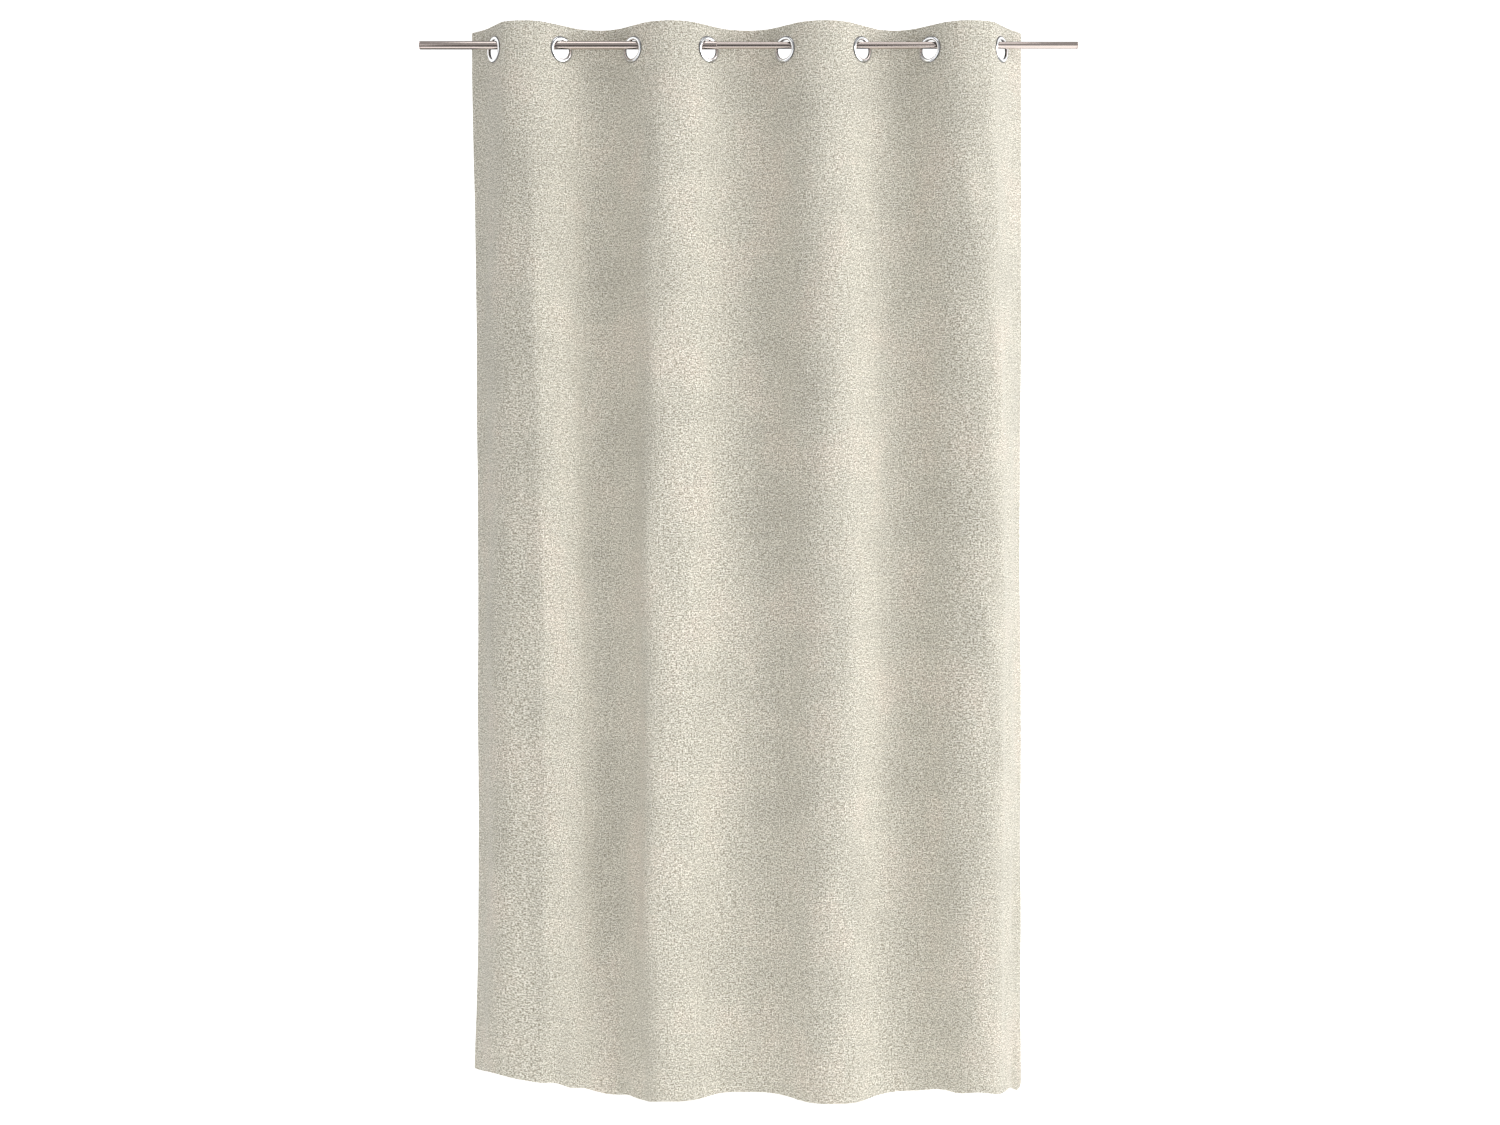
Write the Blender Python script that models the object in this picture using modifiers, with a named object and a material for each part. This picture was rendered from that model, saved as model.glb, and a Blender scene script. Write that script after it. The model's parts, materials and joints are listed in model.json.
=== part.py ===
"""Eyelet curtain on a telescopic rod.

X runs along the rod, -Y faces the room, +Y faces the window and +Z is up.
The origin lies on the rod's axis, midway between the first and the last eyelet.
Sizes are in metres, angles in radians.

The curtain is one cloth with eight eyelets.  It is divided at its fold crests into
eight pleats, one for each eyelet, which hinge on each other when the curtain is drawn.
"""
import math

import bmesh
import bpy
from mathutils import Matrix, Vector
from mathutils.geometry import interpolate_bezier

# Clearance between pieces that touch
GAP = 0.0003

# Rod: a thin tube slides in a thicker one
OUTER_TUBE_DIAMETER = 0.019
INNER_TUBE_DIAMETER = 0.016
TUBE_WALL = 0.0008
OUTER_TUBE_LENGTH = 0.676
TUBE_OVERLAP = 0.250
LEFT_OVERHANG = 0.170
RIGHT_OVERHANG = 0.174
CAP_THICKNESS = 0.0025
SPIGOT_LENGTH = 0.015
COLLAR_LENGTH = 0.006
TUBE_SIDES = 32

# Eyelets: a flanged barrel from the front, a washer clipped on from the back
HUNG_SPAN = 1.160
PITCH_WEIGHTS = (0.93, 0.98, 1.05, 1.05, 1.07, 0.93, 0.99)
EYELET_DIAMETER = 0.060
EYELET_BORE = 0.042
BARREL_WALL = 0.0014
FLANGE_HEIGHT = 0.0026
WASHER_HEIGHT = 0.0024
BARREL_ENGAGEMENT = 0.0006
CROWN_INSET = 0.0030
LIP_FLARE = 0.0035
RIM_SHARE = 0.35
LIP_SHARE = 0.3
SHOULDER_SHARE = 0.4
EYELET_SIDES = 24
EYELET_TURN = math.radians(41)
END_EYELET_TURN = math.radians(53)

# Cloth
CLOTH_LENGTH = 2.455
CLOTH_THICKNESS = 0.0012
HEADING_RISE = 0.055
FOLD_DEPTH = 0.042
FOLD_SOFTNESS = 0.62
LEFT_EDGE_RUN = 0.062
RIGHT_EDGE_RUN = 0.056
EDGE_DEPTH = 0.062
FLAT_MARGIN = 0.001
CURVE_STEPS = 4
DROP_ROWS = 5

# Stiffening tape behind the heading
TAPE_WIDTH = 0.090
TAPE_THICKNESS = 0.0008
TAPE_INSET = 0.005
TAPE_END_GAP = 0.002

# By the hem each fold line has wandered this far sideways, and lifted this far.
# The lines are the left edge, eyelet 1, crest 1, eyelet 2 ... eyelet 8, right edge.
HEM_DRIFT = (
    0.009, 0.000, 0.000, 0.005, 0.005, 0.014, -0.009, -0.012, -0.005,
    0.022, 0.034, 0.014, 0.044, 0.036, 0.030, 0.006, -0.006,
)
HEM_LIFT = (
    0.040, 0.054, 0.054, 0.029, 0.003, 0.002, 0.012, 0.005, 0.000,
    -0.003, 0.000, -0.003, 0.000, 0.013, 0.025, 0.013, 0.002,
)

# Sizes that follow from those above
PLEAT_COUNT = len(PITCH_WEIGHTS) + 1
TUBE_BORE = OUTER_TUBE_DIAMETER - 2 * TUBE_WALL
BORE_RADIUS = EYELET_BORE / 2
BARREL_RADIUS = BORE_RADIUS + BARREL_WALL
FLAT_HALF_WIDTH = EYELET_DIAMETER / 2 + FLAT_MARGIN
CLOTH_FRONT = CLOTH_THICKNESS / 2
TAPE_MIDDLE = CLOTH_FRONT + GAP + TAPE_THICKNESS / 2
TAPE_BACK = TAPE_MIDDLE + TAPE_THICKNESS / 2
FLANGE_BACK = CLOTH_FRONT + GAP
FLANGE_CROWN = FLANGE_BACK + FLANGE_HEIGHT
WASHER_FRONT = -(TAPE_BACK + GAP)
WASHER_CROWN = WASHER_FRONT - WASHER_HEIGHT
BARREL_END = WASHER_FRONT - BARREL_ENGAGEMENT

LEFT_END = -HUNG_SPAN / 2 - LEFT_OVERHANG
RIGHT_END = HUNG_SPAN / 2 + RIGHT_OVERHANG
OUTER_TUBE_START = LEFT_END + CAP_THICKNESS + GAP
OUTER_TUBE_END = OUTER_TUBE_START + OUTER_TUBE_LENGTH
INNER_TUBE_START = OUTER_TUBE_END - TUBE_OVERLAP
INNER_TUBE_END = RIGHT_END - CAP_THICKNESS - GAP

FLANGE_OUTLINE = (
    (EYELET_DIAMETER / 2, FLANGE_BACK + FLANGE_HEIGHT * RIM_SHARE),
    (EYELET_DIAMETER / 2, FLANGE_BACK),
    (BARREL_RADIUS, FLANGE_BACK),
    (BARREL_RADIUS, BARREL_END),
    (BARREL_RADIUS - BARREL_WALL / 2, BARREL_END),
    (BORE_RADIUS, -CLOTH_FRONT),
    (BORE_RADIUS, CLOTH_FRONT),
    (BORE_RADIUS + LIP_FLARE * LIP_SHARE, FLANGE_CROWN - FLANGE_HEIGHT * SHOULDER_SHARE),
    (BORE_RADIUS + LIP_FLARE, FLANGE_CROWN),
    (EYELET_DIAMETER / 2 - CROWN_INSET, FLANGE_CROWN),
)
WASHER_OUTLINE = (
    (EYELET_DIAMETER / 2, WASHER_FRONT),
    (EYELET_DIAMETER / 2, WASHER_FRONT - WASHER_HEIGHT * RIM_SHARE),
    (EYELET_DIAMETER / 2 - CROWN_INSET, WASHER_CROWN),
    (BORE_RADIUS + LIP_FLARE, WASHER_CROWN),
    (BARREL_RADIUS + GAP, WASHER_CROWN + WASHER_HEIGHT * SHOULDER_SHARE),
    (BARREL_RADIUS + GAP, WASHER_FRONT),
)


def eyelet_positions():
    """Where the eyelets hang along the rod."""
    pitch_unit = HUNG_SPAN / sum(PITCH_WEIGHTS)
    positions = [-HUNG_SPAN / 2]
    for weight in PITCH_WEIGHTS:
        positions.append(positions[-1] + weight * pitch_unit)
    return positions


def eyelet_turn(pleat):
    """The angle between the cloth at a pleat's eyelet and the rod."""
    if pleat in (1, PLEAT_COUNT):
        return END_EYELET_TURN
    return EYELET_TURN


def right_side(pleat):
    """The side of the rod where the cloth right of an eyelet lies: -1 room, +1 window."""
    return -1 if pleat % 2 else 1


def eyelet_drop():
    """How far an eyelet sinks on the rod before its rounded bore rests on the tube."""
    slant = math.pi / 2 - EYELET_TURN
    tube_radius = OUTER_TUBE_DIAMETER / 2
    half_width = tube_radius / math.cos(slant)
    facet_loss = math.cos(math.pi / EYELET_SIDES)
    lip_radius = BORE_RADIUS + LIP_FLARE
    drops = []
    for radius, height in FLANGE_OUTLINE + WASHER_OUTLINE:
        if radius > lip_radius:
            continue
        room = radius * facet_loss - GAP
        for degrees in range(1, 90):
            angle = math.radians(degrees)
            across = abs(height) * math.tan(slant) + half_width * math.cos(angle)
            if across < room:
                reach = math.sqrt(room ** 2 - across ** 2)
                drops.append(reach - tube_radius * math.sin(angle))
    return min(drops)


EYELET_HEIGHT = -eyelet_drop()
CLOTH_TOP = EYELET_HEIGHT + HEADING_RISE
HEM_HEIGHT = CLOTH_TOP - CLOTH_LENGTH
HEADING_FOOT = min(CLOTH_TOP - TAPE_INSET - TAPE_WIDTH, EYELET_HEIGHT - FLAT_HALF_WIDTH) - FLAT_MARGIN


def new_collection(name):
    collection = bpy.data.collections.new(name)
    bpy.context.scene.collection.children.link(collection)
    return collection


def principled(name, colour, roughness, metallic):
    """A plain surface: colour is linear red, green and blue."""
    material = bpy.data.materials.new(name)
    material.use_nodes = True
    shader = material.node_tree.nodes["Principled BSDF"]
    shader.inputs["Base Color"].default_value = (*colour, 1.0)
    shader.inputs["Roughness"].default_value = roughness
    shader.inputs["Metallic"].default_value = metallic
    return material


def finish_object(name, mesh, material, collection):
    mesh.materials.append(material)
    piece = bpy.data.objects.new(name, mesh)
    collection.objects.link(piece)
    return piece


def turned(name, outline, axis, centre, sides, material, collection):
    """A solid of revolution about an axis through centre.

    The outline holds (radius, height) pairs that run down the outer side first.
    """
    mesh = bpy.data.meshes.new(name)
    points = [(radius, 0, height) for radius, height in outline]
    edges = [(index, index + 1) for index in range(len(points) - 1)]
    if outline[0][0] > 0:
        edges.append((len(points) - 1, 0))
    mesh.from_pydata(points, edges, [])
    piece = finish_object(name, mesh, material, collection)
    screw = piece.modifiers.new("Turn", "SCREW")
    screw.steps = sides
    screw.render_steps = sides
    screw.use_merge_vertices = True
    screw.merge_threshold = 0.00001
    piece.rotation_mode = "QUATERNION"
    piece.rotation_quaternion = Vector(axis).to_track_quat("Z", "Y")
    piece.location = centre
    return piece


def tube(name, diameter, start, end, material, collection):
    outer = diameter / 2
    inner = outer - TUBE_WALL
    outline = ((outer, end), (outer, start), (inner, start), (inner, end))
    return turned(name, outline, (1, 0, 0), (0, 0, 0), TUBE_SIDES, material, collection)


def plug(name, head_diameter, head_length, bore, face, towards, material, collection):
    """A headed plug in a tube's end; its head's outer face is at X = face."""
    spigot = bore / 2 - GAP
    foot = -head_length - GAP - SPIGOT_LENGTH
    outline = (
        (0, 0),
        (head_diameter / 2, 0),
        (head_diameter / 2, -head_length),
        (spigot, -head_length),
        (spigot, foot),
        (0, foot),
    )
    centre = (face, 0, 0)
    return turned(name, outline, (towards, 0, 0), centre, TUBE_SIDES, material, collection)


def half_fold(turn, run, depth):
    """From an eyelet's centre to the crest beside it, both coordinates growing."""
    slope = Vector((math.cos(turn), math.sin(turn), 0))
    flat_end = slope * FLAT_HALF_WIDTH
    crest = Vector((run, depth, 0))
    corner = flat_end + slope * ((depth - flat_end.y) / slope.y)
    handle = flat_end.lerp(corner, FOLD_SOFTNESS)
    crest_handle = crest.lerp(corner, FOLD_SOFTNESS)
    curve = interpolate_bezier(flat_end, handle, crest_handle, crest, CURVE_STEPS + 1)
    return [Vector((0, 0, 0))] + [Vector(point) for point in curve]


def half_edge(turn, run, depth):
    """From an end eyelet's centre to the cloth's free edge, nearly straight."""
    slope = Vector((math.cos(turn), math.sin(turn), 0))
    flat_end = slope * FLAT_HALF_WIDTH
    edge = Vector((run, depth, 0))
    handle = flat_end + slope * ((edge - flat_end).length / 3)
    edge_handle = edge.lerp(flat_end, 1 / 3)
    curve = interpolate_bezier(flat_end, handle, edge_handle, edge, CURVE_STEPS + 1)
    return [Vector((0, 0, 0))] + [Vector(point) for point in curve]


def pleat_path(pleat, end_gap):
    """Plan points of one pleat from left to right, each with its place on the fold lines."""
    positions = eyelet_positions()
    centre = positions[pleat - 1]
    turn = eyelet_turn(pleat)
    side = right_side(pleat)
    if pleat == 1:
        left = half_edge(turn, LEFT_EDGE_RUN, EDGE_DEPTH)
    else:
        left = half_fold(turn, (centre - positions[pleat - 2]) / 2, FOLD_DEPTH)
    if pleat == PLEAT_COUNT:
        right = half_edge(turn, RIGHT_EDGE_RUN, EDGE_DEPTH)
    else:
        right = half_fold(turn, (positions[pleat] - centre) / 2, FOLD_DEPTH)
    left[-1].x -= end_gap
    right[-1].x -= end_gap
    middle_line = 2 * pleat - 1
    path = []
    for point, share in reversed(list(zip(left, length_shares(left)))):
        path.append((centre - point.x, -side * point.y, middle_line - share))
    for point, share in list(zip(right, length_shares(right)))[1:]:
        path.append((centre + point.x, side * point.y, middle_line + share))
    return path


def length_shares(points):
    """How far along the points' own length each one lies, from 0 to 1."""
    travelled = [0.0]
    for before, after in zip(points, points[1:]):
        travelled.append(travelled[-1] + (after - before).length)
    return [length / travelled[-1] for length in travelled]


def at_line(table, line):
    """A fold-line table's value between its lines, easing from one to the next."""
    before = min(int(line), len(table) - 2)
    share = line - before
    eased = share * share * (3 - 2 * share)
    return table[before] * (1 - eased) + table[before + 1] * eased


def path_normals(path):
    """Unit vectors across the path that point to the window side."""
    normals = []
    for index in range(len(path)):
        before = path[max(index - 1, 0)]
        after = path[min(index + 1, len(path) - 1)]
        along = Vector((after[0] - before[0], after[1] - before[1]))
        normals.append(Vector((-along.y, along.x)).normalized())
    return normals


def cloth_point(station, height):
    """A point of the hanging cloth: flat in its heading, wandering below it."""
    x, y, line = station
    if height >= HEADING_FOOT:
        return Vector((x, y, height))
    fall = (HEADING_FOOT - height) / (HEADING_FOOT - HEM_HEIGHT)
    drift = at_line(HEM_DRIFT, line) * fall
    lift = at_line(HEM_LIFT, line) * fall
    return Vector((x + drift, y, height + lift))


def hung_sheet(name, pleat, heights, end_gap, offset, thickness, material, collection):
    """One pleat's length of sheet, with rows at the given heights."""
    path = pleat_path(pleat, end_gap)
    normals = path_normals(path)
    columns = len(path) - 1
    rows = len(heights) - 1
    mesh = bpy.data.meshes.new(name)
    shape = bmesh.new()
    bmesh.ops.create_grid(shape, x_segments=columns, y_segments=rows, size=1)
    for vertex in shape.verts:
        column = round((vertex.co.x + 1) / 2 * columns)
        row = round((vertex.co.y + 1) / 2 * rows)
        point = cloth_point(path[column], heights[row])
        shift = normals[column] * offset
        vertex.co = (point.x + shift.x, point.y + shift.y, point.z)
    shape.to_mesh(mesh)
    shape.free()
    piece = finish_object(name, mesh, material, collection)
    solidify = piece.modifiers.new("Thickness", "SOLIDIFY")
    solidify.thickness = thickness
    solidify.offset = 0
    return piece


def eyelet_axis(pleat):
    """The way an eyelet's flange faces, always towards the room."""
    turn = eyelet_turn(pleat)
    return Vector((right_side(pleat) * math.sin(turn), -math.cos(turn), 0))


def eyelet_centre(pleat):
    return Vector((eyelet_positions()[pleat - 1], 0, EYELET_HEIGHT))


def hole_cutter(pleat, collection):
    """The round hole that the barrel passes through."""
    mesh = bpy.data.meshes.new(f"eyelet_hole_{pleat}")
    shape = bmesh.new()
    radius = BARREL_RADIUS + GAP
    bmesh.ops.create_cone(
        shape, cap_ends=True, segments=EYELET_SIDES,
        radius1=radius, radius2=radius, depth=EYELET_BORE / 2,
    )
    shape.to_mesh(mesh)
    shape.free()
    cutter = bpy.data.objects.new(mesh.name, mesh)
    collection.objects.link(cutter)
    cutter.rotation_mode = "QUATERNION"
    cutter.rotation_quaternion = eyelet_axis(pleat).to_track_quat("Z", "Y")
    cutter.location = eyelet_centre(pleat)
    cutter.hide_render = True
    cutter.display_type = "WIRE"
    return cutter


def cut(piece, cutter):
    boolean = piece.modifiers.new("Eyelet hole", "BOOLEAN")
    boolean.operation = "DIFFERENCE"
    boolean.object = cutter


def smooth_shading(piece):
    piece.data.shade_smooth()
    piece.data.set_sharp_from_angle(angle=math.radians(40))


def hinge_point(pleat):
    """The upright axis that a pleat turns on.

    Pleat 1 turns at its eyelet on the rod, and each later one at the crest before it,
    on the cloth's inner face.
    """
    positions = eyelet_positions()
    if pleat == 1:
        return Vector((positions[0], 0, 0))
    middle = (positions[pleat - 2] + positions[pleat - 1]) / 2
    side = right_side(pleat - 1)
    return Vector((middle, side * (FOLD_DEPTH - CLOTH_FRONT), 0))


def hang_on_hinge(pieces, pleat, collection):
    """Parents a pleat's pieces to an empty on its joint axis, where they are."""
    empty = bpy.data.objects.new(f"pleat_{pleat}_hinge", None)
    collection.objects.link(empty)
    empty.location = hinge_point(pleat)
    for piece in pieces:
        piece.parent = empty
        piece.matrix_parent_inverse = Matrix.Translation(-empty.location)


def make_rod(materials, collection):
    inner_bore = INNER_TUBE_DIAMETER - 2 * TUBE_WALL
    nickel = materials["nickel"]
    plastic = materials["plastic"]
    fixed = [
        tube(
            "rod_outer_tube", OUTER_TUBE_DIAMETER, OUTER_TUBE_START, OUTER_TUBE_END,
            nickel, collection,
        ),
        plug(
            "rod_left_end_cap", OUTER_TUBE_DIAMETER, CAP_THICKNESS, TUBE_BORE,
            LEFT_END, -1, nickel, collection,
        ),
    ]
    sliding = [
        tube(
            "rod_inner_tube", INNER_TUBE_DIAMETER, INNER_TUBE_START, INNER_TUBE_END,
            nickel, collection,
        ),
        plug(
            "rod_right_end_cap", INNER_TUBE_DIAMETER, CAP_THICKNESS, inner_bore,
            RIGHT_END, 1, nickel, collection,
        ),
        plug(
            "rod_guide_plug", TUBE_BORE - 2 * GAP, COLLAR_LENGTH, inner_bore,
            INNER_TUBE_START - COLLAR_LENGTH - GAP, -1, plastic, collection,
        ),
    ]
    for piece in fixed + sliding:
        smooth_shading(piece)


def make_pleat(pleat, materials, collection, cutters):
    fall = HEADING_FOOT - HEM_HEIGHT
    cloth_rows = [CLOTH_TOP]
    cloth_rows += [HEADING_FOOT - fall * row / DROP_ROWS for row in range(DROP_ROWS + 1)]
    tape_top = CLOTH_TOP - TAPE_INSET
    cloth = hung_sheet(
        f"cloth_pleat_{pleat}", pleat, cloth_rows, GAP / 2, 0,
        CLOTH_THICKNESS, materials["cloth"], collection,
    )
    tape = hung_sheet(
        f"heading_tape_{pleat}", pleat, [tape_top, tape_top - TAPE_WIDTH], TAPE_END_GAP,
        TAPE_MIDDLE, TAPE_THICKNESS, materials["tape"], collection,
    )
    cutter = hole_cutter(pleat, cutters)
    cut(cloth, cutter)
    cut(tape, cutter)
    axis = eyelet_axis(pleat)
    centre = eyelet_centre(pleat)
    flange = turned(
        f"eyelet_flange_{pleat}", FLANGE_OUTLINE, axis, centre, EYELET_SIDES,
        materials["chrome"], collection,
    )
    washer = turned(
        f"eyelet_washer_{pleat}", WASHER_OUTLINE, axis, centre, EYELET_SIDES,
        materials["chrome"], collection,
    )
    pieces = [cloth, tape, flange, washer]
    for piece in pieces:
        smooth_shading(piece)
    hang_on_hinge(pieces, pleat, collection)


def main():
    for old in list(bpy.data.objects):
        bpy.data.objects.remove(old, do_unlink=True)
    collection = new_collection("eyelet_curtain")
    cutters = new_collection("eyelet_curtain_cutters")
    materials = {
        "cloth": principled("Woven linen-look polyester", (0.58, 0.55, 0.48), 0.90, 0.0),
        "tape": principled("Stiffening tape", (0.75, 0.74, 0.70), 0.80, 0.0),
        "chrome": principled("Chromed eyelet", (0.80, 0.80, 0.82), 0.15, 1.0),
        "nickel": principled("Brushed nickel tube", (0.60, 0.56, 0.55), 0.30, 1.0),
        "plastic": principled("Nylon guide", (0.70, 0.70, 0.68), 0.50, 0.0),
    }
    make_rod(materials, collection)
    for pleat in range(1, PLEAT_COUNT + 1):
        make_pleat(pleat, materials, collection, cutters)


main()
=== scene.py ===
"""Eyelet curtain on a telescopic rod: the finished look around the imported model.

Laid out as an add-on and run as a script.  X runs along the rod, -Y faces the room, +Y faces
the window and +Z is up; the origin lies on the rod's axis, midway between the first and the
last eyelet.  Sizes are in metres and angles in radians, unless a name says otherwise.
"""
import json
import math
from types import SimpleNamespace

import bmesh
import bpy
import numpy as np
from mathutils import Matrix, Vector
from mathutils.geometry import interpolate_bezier

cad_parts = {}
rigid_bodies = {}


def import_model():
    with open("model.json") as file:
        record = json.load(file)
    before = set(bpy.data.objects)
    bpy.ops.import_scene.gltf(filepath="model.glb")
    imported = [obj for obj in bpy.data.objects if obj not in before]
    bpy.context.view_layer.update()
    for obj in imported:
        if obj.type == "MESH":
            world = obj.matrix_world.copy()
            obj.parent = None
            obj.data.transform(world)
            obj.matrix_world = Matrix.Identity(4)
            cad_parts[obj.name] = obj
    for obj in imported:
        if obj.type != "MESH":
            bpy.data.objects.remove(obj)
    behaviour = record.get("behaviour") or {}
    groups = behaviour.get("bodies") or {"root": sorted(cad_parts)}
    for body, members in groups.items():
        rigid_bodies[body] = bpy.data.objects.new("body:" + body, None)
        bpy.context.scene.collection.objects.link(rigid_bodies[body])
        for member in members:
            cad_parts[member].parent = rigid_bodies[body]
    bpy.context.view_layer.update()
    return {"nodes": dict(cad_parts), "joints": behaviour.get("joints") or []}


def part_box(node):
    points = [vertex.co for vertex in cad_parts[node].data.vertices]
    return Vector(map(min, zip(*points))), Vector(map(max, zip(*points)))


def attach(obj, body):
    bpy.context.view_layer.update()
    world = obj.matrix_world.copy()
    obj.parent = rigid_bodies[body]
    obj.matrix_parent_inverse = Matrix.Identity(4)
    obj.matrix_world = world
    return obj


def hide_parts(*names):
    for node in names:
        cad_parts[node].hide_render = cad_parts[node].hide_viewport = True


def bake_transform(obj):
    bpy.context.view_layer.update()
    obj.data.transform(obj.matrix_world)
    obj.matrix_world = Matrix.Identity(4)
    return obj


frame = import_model()

bl_info = {
    "name": "Eyelet Curtain",
    "version": (1, 0, 0),
    "blender": (4, 5, 0),
    "location": "3D View > Sidebar > Curtain",
    "description": "Builds an eyelet curtain on a telescopic rod around its packed model",
    "category": "Object",
}

MM = 0.001

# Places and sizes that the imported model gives
JOINTS = {joint["name"]: joint for joint in frame["joints"]}
PLEATS = 8
FLANGE_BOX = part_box("eyelet_flange_1")
OUTER_TUBE_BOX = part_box("rod_outer_tube")
INNER_TUBE_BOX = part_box("rod_inner_tube")
LEFT_CAP_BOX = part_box("rod_left_end_cap")
RIGHT_CAP_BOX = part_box("rod_right_end_cap")
EYELET_HEIGHT = (FLANGE_BOX[0].z + FLANGE_BOX[1].z) / 2
CLOTH_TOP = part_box("cloth_pleat_4")[1].z

# The fold plan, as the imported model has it
CLOTH_LENGTH = 2.455
FLAT_HALF_WIDTH = 31 * MM
FOLD_DEPTH = 42 * MM
FOLD_SOFTNESS = 0.62
EYELET_TURN = math.radians(41)
END_EYELET_TURN = math.radians(53)
LEFT_EDGE_RUN = 62 * MM
RIGHT_EDGE_RUN = 56 * MM
EDGE_DEPTH = 62 * MM
HEM_HEIGHT = CLOTH_TOP - CLOTH_LENGTH
HEADING_FOOT = CLOTH_TOP - 96 * MM
DROP = HEADING_FOOT - HEM_HEIGHT
PLAN_STEPS = 160

# By the hem each fold line has wandered this far sideways, and lifted this far.
# The lines are the left edge, eyelet 1, crest 1, eyelet 2 ... eyelet 8, right edge.
LAST_LINE = 2 * PLEATS
HEM_DRIFT = (
    0.009, 0.000, 0.042, 0.038, 0.034, 0.014, -0.015, -0.012, 0.004,
    0.022, 0.022, 0.022, 0.044, 0.042, 0.030, 0.010, -0.006,
)
HEM_LIFT = (
    0.049, 0.061, 0.046, 0.026, 0.003, 0.002, 0.012, 0.005, 0.000,
    0.002, 0.008, 0.006, 0.004, 0.019, 0.033, 0.022, 0.006,
)
# Halfway down they have wandered this much further, and keep this share of their depth
# by the hem
WAIST_DRIFT = (
    0.011, 0.000, 0.016, 0.007, -0.010, -0.005, -0.026, -0.006, 0.008,
    0.007, 0.016, 0.002, -0.016, -0.006, 0.028, 0.010, 0.000,
)
HEM_DEPTH = (
    0.90, 0.62, 0.35, 0.38, 0.52, 0.90, 1.00, 1.00, 1.00,
    1.00, 1.00, 1.00, 1.00, 1.00, 1.00, 1.00, 0.60,
)

# The first crest is pressed to a sharper ridge; the width is in fold lines
CREASE_DEPTH = 6 * MM
CREASE_WIDTH = 0.24

# Layers across the cloth, measured from its middle towards the room
FRONT_FACE = 0.55 * MM
SINGLE_BACK = 0.15 * MM
HEADING_LAYERS = 1.70 * MM
HEM_LAYERS = 1.00 * MM
EDGE_ROUNDING = 1.2 * MM
# The side seam lies this far inside the side hem's edge, and pulls a groove in the front
SEAM_INSET = 2.4 * MM
GROOVE_DEPTH = 0.42 * MM
GROOVE_WIDTH = 1.0 * MM
# The lower right corner is sewn round
CORNER_RADIUS = 22 * MM

# Below the heading the folds turn by this share into round waves, whose depth varies
RELAXED_SHARE = 0.45
SWELL_SHARE = 0.07
# Unevenness: seed, number of waves, and the ranges of their lengths across and in height
SWELL_WAVES = (11, 6, (1.6, 4.0), (0.9, 2.6))
# The same, after how far each set pushes the cloth out of its plane
SWAY_WAVES = (
    (2.2 * MM, 23, 7, (0.22, 0.45), (0.7, 1.7)),
    (0.9 * MM, 37, 8, (0.07, 0.15), (0.30, 0.8)),
    (0.16 * MM, 41, 14, (0.02, 0.05), (0.04, 0.16)),
)
# The stiff heading sways by this share, and the cloth is calm this far round an eyelet
HEADING_SWAY = 0.2
EYELET_CALM = 25 * MM

# Grid steps: close at cut edges, seams and in the heading, wide where the cloth is plain
EDGE_STEPS = tuple(step * MM for step in (0, 0.3, 0.8, 1.6, 3.2))
SEAM_STEPS = tuple(step * MM for step in (-1.2, -0.5, 0, 0.5, 1.2))
# A hem's edge steps down over twice this width, and a column follows beside it
HALF_STEP = 0.5 * MM
BESIDE_HEM = 3 * MM
COLUMN_PITCH = 4 * MM
HEADING_PITCH = 3.4 * MM
TAPE_PITCH = 3 * MM
UPPER_PITCH, UPPER_DEPTH = 4 * MM, 0.30
PLAIN_PITCH = 8 * MM
FOOT_PITCH, FOOT_REACH = 5 * MM, 40 * MM

# Grid lines round an eyelet, where a square of cells opens into the round hole
HOLE_RADIUS = 22.7 * MM
HOLE_STEPS = tuple(step * MM for step in (0, 4.5, 9, 13.5, 18, 21.3, 24.6, 28))
HOLE_RING = HOLE_STEPS[4]
HOLE_BLOCK = HOLE_STEPS[-1]


# ------------------------------------------------------------------ settings

def linear(hex_colour):
    """Linear red, green and blue of an sRGB hex value."""
    channels = [int(hex_colour[place:place + 2], 16) / 255 for place in (1, 3, 5)]
    return tuple(
        value / 12.92 if value <= 0.04045 else ((value + 0.055) / 1.055) ** 2.4
        for value in channels
    )


def colour_setting(name, description, hex_colour):
    return bpy.props.FloatVectorProperty(
        name=name, description=description, default=linear(hex_colour),
        subtype="COLOR", size=3, min=0.0, max=1.0,
    )


def length_setting(name, description, default, low, high):
    return bpy.props.FloatProperty(
        name=name, description=description, default=default, min=low, max=high,
        unit="LENGTH", precision=5,
    )


def share_setting(name, description, default, high=1.0):
    return bpy.props.FloatProperty(
        name=name, description=description, default=default, min=0.0, max=high,
        subtype="FACTOR",
    )


def power_setting(name, description, default):
    return bpy.props.FloatProperty(
        name=name, description=description, default=default, min=0.0, unit="POWER",
    )


def sides_setting(description):
    return bpy.props.IntProperty(
        name="Sides", description=description, default=96, min=24, max=256,
    )


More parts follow.
